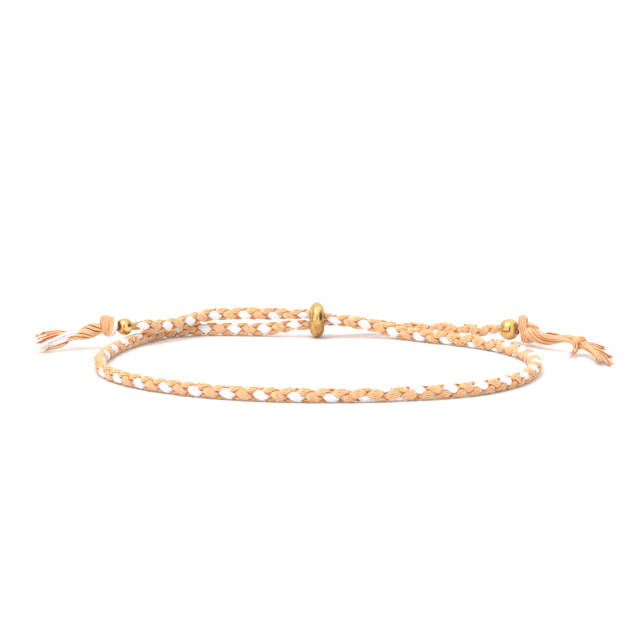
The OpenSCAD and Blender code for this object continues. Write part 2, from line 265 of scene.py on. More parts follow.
# %% The braid's line
CORD_D = 1.9
PITCH = 4.37
WHITE_PHASE = 0.68
PART_SHIFT = np.array([0.47, 21.6, 0])
ROUTE = [
    # Left tail, from its bead along the top of the wrist loop
    (-28.26, -8.19, 2.99, 0, 0.58),
    (-27.3, -7.9, 2.95, 0, 0.58),
    (-26.1, -7.4, 2.92, 0, 0.6),
    (-24.4, -6.2, 2.85, 0, 0.94),
    (-22.2, -4, 2.4, 0, 1),
    (-19.1, -0.8, 2.5, 0, 1),
    (-17.3, 0.6, 2.8, 0, 1),
    (-15.2, 1.4, 3.05, 10, 1),
    (-11, 1.5, 3.2, 20, 1),
    (-7, 1, 3.25, 30, 1),
    # Through the slider, from above the other cord to its front
    (-3.8, 0.2, 3.34, 30, 0.84),
    (-1.5, 0, 3.34, 20, 0.8),
    (0, -0.44, 3.2, 15, 0.8),
    (1.5, -0.74, 2.82, 15, 0.8),
    (3.5, -0.7, 2.45, 10, 0.9),
    # Down to the table and round the right side of the wrist loop
    (6.3, -0.6, 2.05, 0, 1),
    (8.6, -0.8, 1.6, 0, 1),
    (10.6, -1.4, 1.1, 5, 1),
    (12.8, -2.6, 0.97, 15, 1),
    (15, -4.2, 0.97, 26, 1),
    (18, -6, 0.97, 40, 1),
    (21, -8, 0.97, 62, 1),
    (24, -10.8, 0.97, 90, 1),
    (26.4, -14.3, 0.97, 108, 1),
    (27.9, -18, 0.97, 100, 1),
    (28.6, -22, 0.97, 76, 1),
    (28.6, -26, 0.97, 58, 1),
    (27.8, -30, 0.97, 48, 1),
    (26.2, -34, 0.97, 42, 1),
    (23.5, -37.8, 0.97, 42, 1),
    (19.8, -41, 0.97, 45, 1),
    # Front of the wrist loop, where the roll grows by a third of a turn
    (15, -43.2, 0.97, 50, 1),
    (10, -44.4, 0.97, 80, 1),
    (5, -45.2, 0.97, 118, 1),
    (0, -45.4, 0.97, 152, 1),
    (-5, -45, 0.97, 166, 1),
    (-10, -44, 0.97, 168, 1),
    (-15, -42.2, 0.97, 168, 1),
    # Left side of the wrist loop and back to the slider
    (-19.6, -39.6, 0.97, 168, 1),
    (-23.6, -36.4, 0.97, 168, 1),
    (-26.8, -32.4, 0.97, 168, 1),
    (-28.8, -28, 0.97, 166, 1),
    (-29.5, -23.4, 0.97, 172, 1),
    (-29.3, -19, 0.97, 168, 1),
    (-28.5, -14.6, 0.97, 154, 1),
    (-27.2, -10.2, 0.97, 126, 1),
    (-25.4, -6.2, 0.97, 104, 1),
    (-23.4, -2.4, 0.97, 112, 1),
    (-20.6, 0.2, 0.97, 138, 1),
    (-17, 1.3, 0.97, 158, 1),
    (-13, 1.3, 0.97, 166, 1),
    (-9, 1, 0.98, 170, 1),
    (-6, 0.5, 1.3, 168, 1),
    # Through the slider again, from below the other cord to behind it
    (-3.8, 0.2, 1.7, 160, 0.84),
    (-1.5, 0, 1.76, 160, 0.8),
    (0, 0.44, 1.9, 170, 0.8),
    (1.5, 0.74, 2.28, 175, 0.8),
    (3.5, 1.4, 2.2, 184, 0.9),
    # Right tail, on the table behind the wrist loop and then up to its bead
    (6, 2.1, 1.7, 200, 1),
    (9, 2.2, 1.2, 222, 1),
    (12, 2.1, 0.97, 244, 1),
    (16, 1.9, 0.97, 262, 1),
    (19.5, 1.4, 0.97, 272, 1),
    (22.2, -0.6, 1.16, 276, 1),
    (24, -2.9, 1.6, 276, 0.94),
    (25.3, -4.15, 1.94, 276, 0.65),
    (26.7, -4.85, 2.02, 276, 0.64),
    (27.9, -5.39, 2.08, 276, 0.64),
]
print("the braid's line has", len(ROUTE), "points")

# %% [markdown]
# A smooth curve goes through all of the points. The braid's pattern is placed by the length
# along this curve, so it keeps one pitch from end to end.

# %% A smooth curve
FINE_STEPS = 12


def smooth(points, steps):
    """Smooth curve through the points, each stretch split into the given steps."""
    p = np.asarray(points, float)
    run = np.vstack([2 * p[:1] - p[1:2], p, 2 * p[-1:] - p[-2:-1]])
    t = (np.arange(steps) / steps)[:, None]
    stretches = []
    for a, b, c, d in zip(run, run[1:], run[2:], run[3:]):
        stretches.append((2 * b + (c - a) * t + (2 * a - 5 * b + 4 * c - d) * t**2
                          + (3 * b - a - 3 * c + d) * t**3) / 2)
    return np.vstack(stretches + [p[-1:]])


def unit(v):
    return v / np.linalg.norm(v, axis=-1, keepdims=True)


def lengths(line):
    """Length along a line of points, at each of them."""
    steps = np.linalg.norm(np.diff(line[:, :3], axis=0), axis=1)
    return np.concatenate([[0], np.cumsum(steps)])


fine = smooth(ROUTE, FINE_STEPS)
along_route = lengths(fine)
route_length = along_route[-1]
print("the braid is", round(route_length, 1), "mm long")

# %% [markdown]
# Every ring across the braid has a middle and two ways across it, rolled with the braid.
# A pulled braid also sways twice a turn: the yarn on top goes straighter along the braid,
# and the one beneath crosses more steeply. All rings are worked out at once, as arrays.

# %% Rings across the braid
RINGS_PER_TURN = 24
LOOK = 0.3
SWAY = 25


def at(s):
    return np.stack([np.interp(s, along_route, column) for column in fine.T], axis=-1)


first_ring = math.ceil(RINGS_PER_TURN * WHITE_PHASE)
ring = np.arange(first_ring, RINGS_PER_TURN * (WHITE_PHASE + route_length / PITCH))
ring_s = PITCH * (ring / RINGS_PER_TURN - WHITE_PHASE)
row = at(ring_s)
middle = row[:, :3] + PART_SHIFT
ahead = unit(at(ring_s + LOOK)[:, :3] - at(ring_s - LOOK)[:, :3])
side = unit(np.stack([-ahead[:, 1], ahead[:, 0], 0 * ahead[:, 0]], axis=1))
rise = np.cross(ahead, side)
crossing_wave = np.sin(4 * np.pi * ring / RINGS_PER_TURN)[:, None]
roll = np.radians(row[:, 3:4] - SWAY * crossing_wave)
first = np.cos(roll) * side + np.sin(roll) * rise
second = np.cos(roll) * rise - np.sin(roll) * side
size = row[:, 4:5]
print("rings across the braid:", len(ring))

# %% [markdown]
# In a four-strand round braid two yarns wind one way and two the other. Half way between
# two crossings each yarn has a quarter of the round section. At a crossing the section is
# four layers, and in between a straight wall turns about the middle of each half. So the
# room that a yarn has depends only on how far it is past a crossing, and on whether it goes
# over there or under. The yarn on top spreads, and the one beneath is pressed thin and
# tucked in. The outline is found along rays from the room's middle. A soft minimum of the
# distances to the walls rounds the corners.

# %% Room for a yarn
CORD_R = CORD_D / 2
YARN_GAP = 0.02
THREAD_D = 0.29
SOFTNESS = 6
RAYS = 120
SPREAD = 0.45
PRESSED = 0.06
TUCK = 0.33
GRID_OUT, GRID_ON = 96, 191
TINY = 1e-6
ray_angle = 2 * np.pi * np.arange(RAYS) / RAYS
RAY = np.stack([np.cos(ray_angle), np.sin(ray_angle)], axis=1)


def blend(a, b, k):
    return a + (b - a) * k


def room(past, over):
    """Outline of a yarn's room for its threads' middles, outwards and onwards, in mm."""
    lean = 2 * math.radians(past)
    crossing = math.cos(lean)
    free = (THREAD_D + YARN_GAP) / 2
    inset = free if over else blend(free, PRESSED, crossing)
    pivot = np.array([CORD_R / 2 * (1 - SPREAD * crossing), 0])
    across = np.array([crossing if over else -crossing, math.sin(lean)])
    walls = [(np.array([1.0, 0.0]), inset), (across, pivot @ across + inset)]
    reach = CORD_R - THREAD_D / 2 - (0 if over else TUCK * crossing)
    outwards = np.linspace(0, CORD_R, GRID_OUT)
    onwards = np.linspace(-CORD_R, CORD_R, GRID_ON)
    grid = np.stack(np.meshgrid(outwards, onwards), -1).reshape(-1, 2)
    inside = np.hypot(grid[:, 0], grid[:, 1]) < reach
    for normal, distance in walls:
        inside &= grid @ normal > distance
    centre = grid[inside].mean(axis=0)
    out = RAY @ centre
    closeness = (np.sqrt(out**2 - centre @ centre + reach**2) - out) ** -SOFTNESS
    for normal, distance in walls:
        facing = np.maximum(-(RAY @ normal), TINY)
        closeness = closeness + ((centre @ normal - distance) / facing) ** -SOFTNESS
    return centre + RAY * closeness[:, None] ** (-1 / SOFTNESS)


RINGS_PER_QUARTER = RINGS_PER_TURN // 4
rooms = {}
for over in (True, False):
    for past in range(-RINGS_PER_QUARTER // 2, RINGS_PER_QUARTER // 2 + 1):
        rooms[past, over] = room(360 * past / RINGS_PER_TURN, over)
print("outlines of rooms:", len(rooms))

# %% [markdown]
# A thread is swept as a six-sided tube. Where nothing says which way its sides face, they
# turn as little as they can along it.

# %% Tubes
THREAD_SIDES = 6
FREE_SIDE = (0.13, 0.21, 1.0)


def steady_sides(line, ahead_way):
    """Side directions along a free line that turn as little as they can."""
    out = np.empty_like(line)
    v = np.array(FREE_SIDE)
    for i, way in enumerate(ahead_way):
        v = v - way * (v @ way)
        v = v / np.linalg.norm(v)
        out[i] = v
    return out


def tube(line, radius, up=None, sides=THREAD_SIDES):
    """Corners of a tube along a line, ring by ring."""
    ahead_way = unit(np.gradient(line, axis=0))
    if up is None:
        over = steady_sides(line, ahead_way)
    else:
        over = unit(up - ahead_way * np.sum(up * ahead_way, axis=1, keepdims=True))
    beside = np.cross(ahead_way, over)
    angle = (2 * np.pi * np.arange(sides) / sides)[None, :, None]
    spokes = np.cos(angle) * over[:, None] + np.sin(angle) * beside[:, None]
    radius = np.broadcast_to(np.asarray(radius, float).reshape(-1, 1, 1), (len(line), 1, 1))
    return line[:, None] + radius * spokes


print("a tube has", THREAD_SIDES, "sides")

# %% [markdown]
# The threads of a piece are joined into one mesh, and the corners of each come as one
# array. Two maps go with them: one for the cotton's pattern, and one that lays every
# thread out in rows for painting the finished look.

# %% One mesh out of many tubes
PATCH_MARGIN = 0.08
# How many rows the laid out rings take, against how many rings go in a row
ROWS_TO_RINGS = 0.3


def thread_piece(name, tubes, material, slot):
    """One mesh out of many tubes, with closed ends and both maps."""
    corners, quads, caps, pattern, places = [], [], [], [], []
    base = 0
    ring_count = 0
    for number, t in enumerate(tubes):
        n, sides = t.shape[:2]
        ids = base + np.arange(n * sides).reshape(n, sides)
        nxt = np.roll(ids, -1, axis=1)
        quads.append(np.stack([ids[:-1], nxt[:-1], nxt[1:], ids[1:]], axis=-1).reshape(-1, 4))
        caps += [ids[0, ::-1].tolist(), ids[-1].tolist()]
        s = lengths(t.mean(axis=1))
        width = 1 / sides
        sideways = np.arange(sides) / sides
        here, spoke = np.meshgrid(s[:-1], sideways, indexing="ij")
        there = np.broadcast_to(s[1:, None], here.shape)
        low, high = spoke + number, spoke + width + number
        quad_map = np.stack([here, low, here, high, there, high, there, low], -1)
        pattern.append(quad_map.reshape(-1, 4, 2))
        ring_number = ring_count + np.repeat(np.arange(n - 1), sides)
        widths = np.full((n - 1) * sides, width)
        places.append(np.stack([ring_number, np.tile(sideways, n - 1), widths], -1))
        corners.append(t.reshape(-1, 3))
        base += n * sides
        ring_count += n - 1
    corners = np.vstack(corners) * MM
    quads = np.vstack(quads)
    ring_number, sideways, width = np.vstack(places).T
    mesh = bpy.data.meshes.new(name)
    mesh.from_pydata(corners.tolist(), [], quads.tolist() + caps)
    rows = max(1, round(math.sqrt(ring_count * ROWS_TO_RINGS)))
    per_row = math.ceil(ring_count / rows)
    u0 = (ring_number % per_row) / per_row
    u1 = u0 + 1 / per_row
    v0 = (ring_number // per_row + PATCH_MARGIN + (1 - 2 * PATCH_MARGIN) * sideways) / rows
    v1 = v0 + (1 - 2 * PATCH_MARGIN) * width / rows
    layout = np.stack([u0, v0, u0, v1, u1, v1, u1, v0], -1)
    cap_corners = sum(len(c) for c in caps)
    for map_name, values in (("OFBake", layout), ("thread", np.vstack(pattern))):
        uv = mesh.uv_layers.new(name=map_name)
        whole = np.vstack([values.reshape(-1, 2), np.zeros((cap_corners, 2))])
        uv.uv.foreach_set("vector", whole.ravel())
    mesh.materials.append(material)
    mesh.shade_smooth()
    piece = bpy.data.objects.new(name, mesh)
    scene.collection.objects.link(piece)
    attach(piece, "root")
    triangles = 2 * len(quads) + sum(len(c) - 2 for c in caps)
    print(name, "has", len(tubes), "threads and", triangles, "triangles")
    return piece


# %% [markdown]
# Each yarn is ten threads. In every ring they lie at even distances along the outline of
# the yarn's room. They start from a side that goes round with the yarn and turns slowly in
# it, so the threads run along the yarn and shift past each other where it flattens. Each
# one stands a little uneven, because cotton does.

# %% The four yarns of the braid
THREADS = 10
TWIST_LENGTH = 21
EASING = np.array([1, 2, 1]) / 4
SEED = 7
# Waves in how far out a thread stands, and in how thick it is: height and pace
UNEVEN_LONG, UNEVEN_SHORT, THICKNESS = (0.014, 1.7), (0.01, 4.3), (0.07, 2.9)
seeded = np.random.default_rng(SEED)


def ease(values, times=2):
    """Smooth a table of numbers along its first axis, keeping its ends."""
    for _ in range(times):
        inner = EASING[0] * values[:-2] + EASING[1] * values[1:-1] + EASING[2] * values[2:]
        values = np.concatenate([values[:1], inner, values[-1:]])
    return values


def wave(form, s, start):
    height, pace = form
    return height * np.sin(s * pace + start)


def thread_places(hand, start):
    """Middles of a yarn's threads in every ring, along the two rolled ways."""
    places = np.empty((len(ring), THREADS, 2))
    for i, r in enumerate(ring):
        crossing = round(r / RINGS_PER_QUARTER)
        past = r - crossing * RINGS_PER_QUARTER
        over = (crossing % 2 == 0) == (hand > 0)
        outline = rooms[past, over]
        turned = math.radians(hand * 90 * crossing + start)
        from_side = 360 * past / RINGS_PER_TURN + hand * 360 * ring_s[i] / TWIST_LENGTH
        closed = np.vstack([outline, outline[:1]])
        along = lengths(closed)
        centre = outline.mean(axis=0)
        angle = np.degrees(np.unwrap(np.arctan2(*(closed - centre).T[::-1])))
        begin = np.interp((from_side - angle[0]) % 360, angle - angle[0], along)
        wanted = (begin + along[-1] * np.arange(THREADS) / THREADS) % along[-1]
        outwards, onwards = (np.interp(wanted, along, column) for column in closed.T)
        places[i, :, 0] = outwards * math.cos(turned) - hand * onwards * math.sin(turned)
        places[i, :, 1] = outwards * math.sin(turned) + hand * onwards * math.cos(turned)
    return ease(places)


def yarn(name, node, hand, start, material, slot):
    places = thread_places(hand, start) * size[:, None]
    tubes = []
    for k in range(THREADS):
        starts = seeded.uniform(0, 2 * np.pi, 3)
        uneven = wave(UNEVEN_LONG, ring_s, starts[0]) + wave(UNEVEN_SHORT, ring_s, starts[1])
        thick = 1 + wave(THICKNESS, ring_s, starts[2])
        path = middle + places[:, k, :1] * first + places[:, k, 1:] * second
        away = unit(path - middle)
        radius = THREAD_D / 2 * size[:, 0] * thick
        tubes.append(tube(path + away * uneven[:, None], radius, away))
    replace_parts(thread_piece(name, tubes, material, slot), node)


yarn("white_yarn", "white_strand", 1, 0, white_cotton, "white_yarn")
yarn("apricot_yarn_1", "apricot_strand_1", 1, 180, apricot_cotton, "apricot_yarn")
yarn("apricot_yarn_2", "apricot_strand_2", -1, 0, apricot_cotton, "apricot_yarn")
yarn("apricot_yarn_3", "apricot_strand_3", -1, 180, apricot_cotton, "apricot_yarn")

# %% [markdown]
# Beyond the beads the four yarns run on together. Each end is tied in one overhand knot, a
# tube that goes once round itself. Its points are given in bundle thicknesses, and the knot
# is turned to lead away from its bead. The bundle's threads lie round the tube, and about a
# fifth of them are white.

# %% Knots
KNOT = [
    (-0.75, 0, 0), (-0.2, 0, -0.3), (0.7, 0, -0.52), (1.45, 0.3, -0.58), (1.72, 0.98, -0.15),
    (1.42, 1.05, 0.8), (1.12, 0.38, 1.52), (0.94, -0.62, 1.36), (0.78, -1.07, 0.4),
    (0.56, -1.02, -0.75), (0.3, -0.25, -1.56), (0, 0.72, -1.2), (-0.3, 1.08, -0.15),
    (-0.22, 0.62, 0.7), (0.45, 0.04, 0.6), (1.3, -0.1, 0.56), (2.1, 0, 0.4),
]
KNOT_TIGHT = 0.78
KNOT_THREADS = 14
KNOT_THREAD_D = 0.25
WHITE_IN_KNOT = 3
WRAP_ROW = 8
WRAP = slice(8, 13)
FAR_LOOP = slice(3, 6)
KNOT_STEPS = 8
PRESS = 0.5
RIPPLE = (0.05, 2.3)
RIPPLE_APART = 2.4


def knot_way(turn, roll):
    """How a knot is turned, as a matrix. Its first column is the way that it leads."""
    turned = Euler([math.radians(a) for a in turn]).to_matrix()
    return np.array(turned @ Matrix.Rotation(math.radians(roll), 3, "X"))


def knot(name, node, place, turned, bundle, flip, flatten, lean, thin, dip, white_side):
    """Threads round the knot's tube, pressed flat where it wraps.

    The wrap leans along the lead and is drawn in, the far loop dips, and the white threads
    are on the given side.
    """
    rows = np.array(KNOT, float) - (KNOT[0][0], 0, 0)
    rows[WRAP, 0] -= lean * rows[WRAP, 1]
    rows[WRAP, 1] *= thin
    rows[FAR_LOOP, 2] += dip
    local = bundle * smooth(rows, KNOT_STEPS) * (KNOT_TIGHT, 1, flip)
    line = local @ turned.T + place + PART_SHIFT
    ahead_way = unit(np.gradient(line, axis=0))
    over = steady_sides(line, ahead_way)
    beside = np.cross(ahead_way, over)
    lead = turned[:, 0]
    wide = lead - ahead_way * (ahead_way @ lead)[:, None]
    wrapped = np.sum(wide * wide, axis=1, keepdims=True)
    wide = unit(wide)
    wrap = WRAP_ROW * KNOT_STEPS
    back = math.atan2(-wide[wrap] @ beside[wrap], -wide[wrap] @ over[wrap])
    thread_d = KNOT_THREAD_D * bundle
    threads = []
    for k in range(KNOT_THREADS):
        past_white = 2 * np.pi * (k - (WHITE_IN_KNOT - 1) / 2) / KNOT_THREADS
        angle = back + math.radians(white_side) + past_white
        out = math.cos(angle) * over + math.sin(angle) * beside
        offset = (bundle - thread_d) / 2 * out
        along_wide = np.sum(offset * wide, axis=1, keepdims=True) * wide
        offset = offset + flatten * wrapped * (along_wide - PRESS * (offset - along_wide))
        ripple = 1 + wave(RIPPLE, lengths(line)[:, None], RIPPLE_APART * k)
        threads.append(tube(line + offset * ripple, thread_d / 2, offset))
    for part, tubes, material in (("white", threads[:WHITE_IN_KNOT], white_cotton),
                                  ("apricot", threads[WHITE_IN_KNOT:], apricot_cotton)):
        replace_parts(thread_piece(name + "_" + part, tubes, material, part + "_yarn"), node)


knot("knot_left", "knot_left", (-28.48, -8.26, 3), knot_way((0, -4, 199), 90),
     bundle=0.94, flip=1, flatten=0.1, lean=0, thin=1, dip=0, white_side=-86)
knot("knot_right", "knot_right", (28.14, -5.55, 2.12), knot_way((0, -10, -47), 0),
     bundle=1.04, flip=-1, flatten=0.35, lean=0.3, thin=0.8, dip=0.25, white_side=0)

# %% [markdown]
# Past its knot each bundle swells into a loose head and then fans out into locks. A head is
# two strands laid round each other, which the rows give as a place, a thickness and how far
# the strands stand apart.

# %% Rows of the free ends
LEFT_HEAD = [
    (-30.4, -8.95, 2.95, 1.3, 0),
    (-31.1, -9, 2.8, 1.9, 0),
    (-31.9, -8.95, 2.6, 2.15, 0),
    (-32.9, -9.1, 2.1, 2.05, 0.1),
    (-34.4, -9.8, 1.25, 1.6, 0.2),
    (-35.8, -10.6, 0.8, 1.2, 0.3),
]
RIGHT_HEAD = [
    (29.1, -7.25, 2.15, 1.4, 0.2),
    (29.8, -8, 1.9, 1.95, 0.5),
    (30.9, -9.1, 1.6, 1.95, 0.65),
    (31.9, -10, 1.65, 1.9, 0.65),
    (33, -11, 1.9, 1.5, 0.5),
    (34.4, -12.2, 2, 1.3, 0.3),
    (35.5, -13.3, 1.85, 1.5, 0.2),
    (36.2, -14.2, 1.6, 1.4, 0.2),
    (36.6, -15.1, 1.3, 1, 0.2),
]
# Each lock: start, middle and tip, how many of its threads are white, and how full it is
LEFT_LOCKS = [
    ((-35, -10.1, 1), (-36.7, -11.1, 0.6), (-38.2, -12.1, 0.3), 0, 1),
    ((-33.8, -9.3, 2.6), (-36.3, -10.5, 1.75), (-38.9, -11.5, 0.35), 8, 1.6),
    ((-33.8, -9, 1.9), (-37, -7.4, 1.6), (-40, -7.2, 0.35), 0, 1),
    ((-33.8, -9, 1.9), (-37.2, -5.8, 1.8), (-40.6, -4, 0.8), 0, 1),
]
RIGHT_LOCKS = [
    ((35.4, -13.4, 1.6), (35.1, -14.7, 1), (34.5, -15.6, 0.4), 0, 1.6),
    ((35.6, -13.6, 1.6), (37.6, -13.8, 1.4), (39.4, -14, 0.6), 0, 1.1),
    ((36, -14.2, 1.5), (37.4, -18.6, 0.8), (37.5, -22.4, 0.35), 0, 1),
    ((36.2, -14.2, 1.5), (38, -18.4, 0.9), (39, -22.8, 0.35), 1, 1),
    ((36, -14.2, 1.5), (38.2, -17, 1.2), (39.6, -20.4, 0.4), 1, 1),
]
print("locks on the left and on the right:", len(LEFT_LOCKS), "and", len(RIGHT_LOCKS))

# %% [markdown]
# Every thread runs along its strand of the head and on into its lock. Its tip strays a
# little, reaches as far as chance has it, and ends in fine fibres. None of it goes below
# the table.

# %% Fibres at a tip
FIBRES = 4
FIBRE_D = 0.04
FIBRE_SIDES = 4
FIBRE_POINTS = 7
FIBRE_TIP = 0.6
FIBRE_LENGTHS = (0.5, 1.9)
FIBRE_STRAY = 0.3
FIBRE_BEND = 0.22
# Points back from the tip where its fibres start, and where its direction is taken from
FIBRE_ROOT, TIP_LOOK = 3, 6
FLOOR_GAP = 0.02


def frame_of(line):
    ahead_way = unit(np.gradient(line, axis=0))
    over = steady_sides(line, ahead_way)
    return over, np.cross(ahead_way, over)


def lifted(path, radius):
    """The same path, but with nothing below the table."""
    path = path.copy()
    path[:, 2] = np.maximum(path[:, 2], radius + FLOOR_GAP)
    return path


def fibres_at(path):
    """Fine fibres that go on from a thread's tip."""
    way = unit(path[-1] - path[-TIP_LOOK])
    radius = FIBRE_D / 2 * np.linspace(1, FIBRE_TIP, FIBRE_POINTS)
    tubes = []
    for _ in range(FIBRES):
        long = seeded.uniform(*FIBRE_LENGTHS)
        stray = seeded.normal(0, FIBRE_STRAY, 3)
        bend = seeded.normal(0, FIBRE_BEND, 3)
        t = np.linspace(0, 1, FIBRE_POINTS)[:, None]
        line = path[-FIBRE_ROOT] + long * (t * unit(way + stray) + t**2 * bend)
        tubes.append(tube(lifted(line, FIBRE_D / 2), radius, sides=FIBRE_SIDES))
    return tubes


print("each tip ends in", FIBRES, "fibres")

# %% [markdown]
# The locks take their threads from the side of the head that they leave it on, in order
# round it. White threads run near the head's middle, and about every third one of the
# others runs halfway out.

# %% Threads of the free ends
HEAD_STEPS = 6
LOCK_STEPS = 10
END_EASING = 8
END_THREAD_D = 0.26
LOCK_D = 0.62
LOCK_THREADS = 8
TIP_STRAY = 0.2
TIP_R = 0.09
# A thread ends at a point of its lock from the first number to before the second, and the
# join with the head takes up the lock's first points
REACHED, JOINED = (15, 21), 2
# A thread is thinner where the head is thinner than this, down to the given share
FULL_HEAD_D, THIN_SHARE = 1.5, 0.75
# How far out in a head the white, the inner and the other threads lie
WHITE_OUT, INNER_OUT, INNER_EVERY = 0.25, 0.55, 3
# A lock's threads press together, close up to its tip, and run round a core
PRESSED_SHARE, LOCK_CLOSES, CORE_OUT, CORE_EVERY = 0.6, 0.4, 0.3, 4
LOCK_TURNED = 1.1


def free_end(name, node, head, locks, strand_lay):
    head_rows = smooth(head, HEAD_STEPS)
    head_line = head_rows[:, :3] + PART_SHIFT
    head_d, parted = head_rows[:, 3:4], head_rows[:, 4:5]
    over, beside = frame_of(head_line)
    run = lengths(head_line)
    lay = 2 * np.pi * (run - run[-1])[:, None] / strand_lay
    apart = parted * head_d / 4
    thread_r = END_THREAD_D / 2 * np.clip(head_rows[:, 3] / FULL_HEAD_D, THIN_SHARE, 1)
    middles = np.array([lock[1] for lock in locks]) + PART_SHIFT - head_line[-1]
    lock_side = np.arctan2(middles @ beside[-1], middles @ over[-1])
    order = np.argsort(lock_side)
    first_side = lock_side[order[0]]
    shown = sum(LOCK_THREADS - lock[3] for lock in locks)
    seen = 0
    parts = {"white": [], "apricot": []}
    for rank, number in enumerate(order):
        start, mid, tip, white, full = locks[number]
        lock_line = smooth((start, mid, tip), LOCK_STEPS) + PART_SHIFT
        leaves = int(np.argmin(np.linalg.norm(head_line - lock_line[0], axis=1)))
        lock_over, lock_beside = frame_of(lock_line)
        lock_way = np.linspace(0, 1, len(lock_line))[:, None]
        lock_r = (LOCK_D * full - END_THREAD_D * PRESSED_SHARE) / 2 * (1 - LOCK_CLOSES * lock_way)
        for k in range(LOCK_THREADS):
            share = (rank if k < white else seen) + 0.5
            share /= len(locks) if k < white else shown
            seen += k >= white
            angle = first_side + 2 * np.pi * share + lay
            strand = 1 if share < 0.5 else -1
            strand_angle = first_side + np.pi / 2 * (2 - strand) + lay
            halfway = k % INNER_EVERY == INNER_EVERY - 1
            inner = WHITE_OUT if k < white else INNER_OUT if halfway else 1
            in_strand = 2 * (angle - lay - first_side) + lay + first_side
            turn = blend(angle, in_strand, parted)
            reach = (head_d / 2 - thread_r[:, None]) * inner * (1 - parted / 2)
            in_head = (head_line + (reach * np.cos(turn) + apart * np.cos(strand_angle)) * over
                       + (reach * np.sin(turn) + apart * np.sin(strand_angle)) * beside)
            lock_angle = 2 * np.pi * k / LOCK_THREADS + LOCK_TURNED * number
            stray = seeded.normal(0, TIP_STRAY, 2)
            close = lock_r * (CORE_OUT if k % CORE_EVERY == CORE_EVERY - 1 else 1)
            in_lock = (lock_line
                       + (close * math.cos(lock_angle) + stray[0] * lock_way**2) * lock_over
                       + (close * math.sin(lock_angle) + stray[1] * lock_way**2) * lock_beside)
            reached = seeded.integers(*REACHED)
            path = ease(np.vstack([in_head[:leaves], in_lock[JOINED:reached]]), END_EASING)
            lock_thread_r = END_THREAD_D / 2 * math.sqrt(full)
            tapered = np.linspace(lock_thread_r, TIP_R, reached - JOINED)
            radius = np.concatenate([thread_r[:leaves], tapered])
            path = lifted(path, radius)
            outer_way = np.vstack([in_head[:leaves] - head_line[:leaves],
                                   (in_lock - lock_line)[JOINED:reached]])
            kind = parts["white" if k < white else "apricot"]
            kind.append(tube(path, radius, ease(outer_way, END_EASING)))
            kind.extend(fibres_at(path))
    for part, material in (("white", white_cotton), ("apricot", apricot_cotton)):
        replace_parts(thread_piece(name + "_" + part, parts[part], material, part + "_yarn"), node)


free_end("loose_end_left", "free_end_left", LEFT_HEAD, LEFT_LOCKS, strand_lay=7.5)
free_end("loose_end_right", "free_end_right", RIGHT_HEAD, RIGHT_LOCKS, strand_lay=15)

# %% [markdown]
# Each end has one more turn of thread. On the left a broad one stands beside the knot, and
# on the right a smaller one ties the head in front of its locks. Each is a belt of parallel
# threads round the head.

# %% Belts of thread
BELT_THREAD_D = 0.24
BELT_POINTS = 49
BELT_OVERLAP = 0.9
BELT_BULGE = 0.3
BELT_NARROWS = 0.25
SLANT_START = 0.4


def belt(name, node, place, way, across, threads, slant):
    """Parallel threads round a head. across is its width and height over the whole belt."""
    way = unit(np.array(way))
    level = unit(np.cross(way, (0, 0, 1)))
    up = np.cross(level, way)
    angle = np.linspace(0, 2 * np.pi, BELT_POINTS)[:, None]
    half = threads * BELT_THREAD_D / 2
    tubes = []
    for k in range(threads):
        step = (k - (threads - 1) / 2) * BELT_THREAD_D * BELT_OVERLAP
        bulge = 1 - BELT_BULGE * (step / half) ** 2
        out = bulge / 2 * (across[0] * np.cos(angle) * level + across[1] * np.sin(angle) * up)
        narrow = 1 - BELT_NARROWS * (1 - np.sin(angle)) / 2
        along = step * narrow + slant * np.sin(angle / 2 + SLANT_START)
        path = np.array(place) + PART_SHIFT + out + along * way
        tubes.append(tube(path, BELT_THREAD_D / 2, out))
    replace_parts(thread_piece(name, tubes, apricot_cotton, "apricot_yarn"), node)


belt("wrap_left", "knot_left", (-29.8, -8.75, 3.4), (-0.96, -0.2, 0.02),
     across=(2.2, 2.6), threads=8, slant=0)
belt("wrap_right", "free_end_right", (35.55, -13.35, 1.8), (0.55, -0.75, -0.35),
     across=(1.75, 1.95), threads=6, slant=0.35)

# %% [markdown]
# Brass that has been handled isn't a mirror. Its colour goes from bright yellow to olive
# brown where it has tarnished, and faint scratches blur what it reflects. The ring stands
# on the table, and its lower half is rougher and has painted shade and darker painted
# reflections: it is browner there, in soft bands across its width.

# %% Brass
BRIGHT_BRASS = (0.88, 0.60, 0.25, 1)
TARNISH_AND_SHADE_BRASS = (0.52, 0.285, 0.08, 1)
TARNISH_SCALE, TARNISH_GAIN, TARNISH_START = 700.0, 2.2, -0.7
SCRATCH_SCALE, SCRATCH_BUMP, SCRATCH_DEPTH = 4200.0, 0.25, 0.01
# The ring has painted shade and is rougher below this height, changes over this much, and is this
# near the middle
RING_SHADE_BELOW, RING_SHADE_OVER, RING_REACH = 2.9, 1.0, 4
# Scales of the bands across the ring and up it, and their contrast
BANDS_ACROSS, BANDS_UP, BAND_GAIN, BAND_START = 1400, 260, 3.6, -1.3
BANDS_SHADE, RING_SHADE = 0.9, 0.25
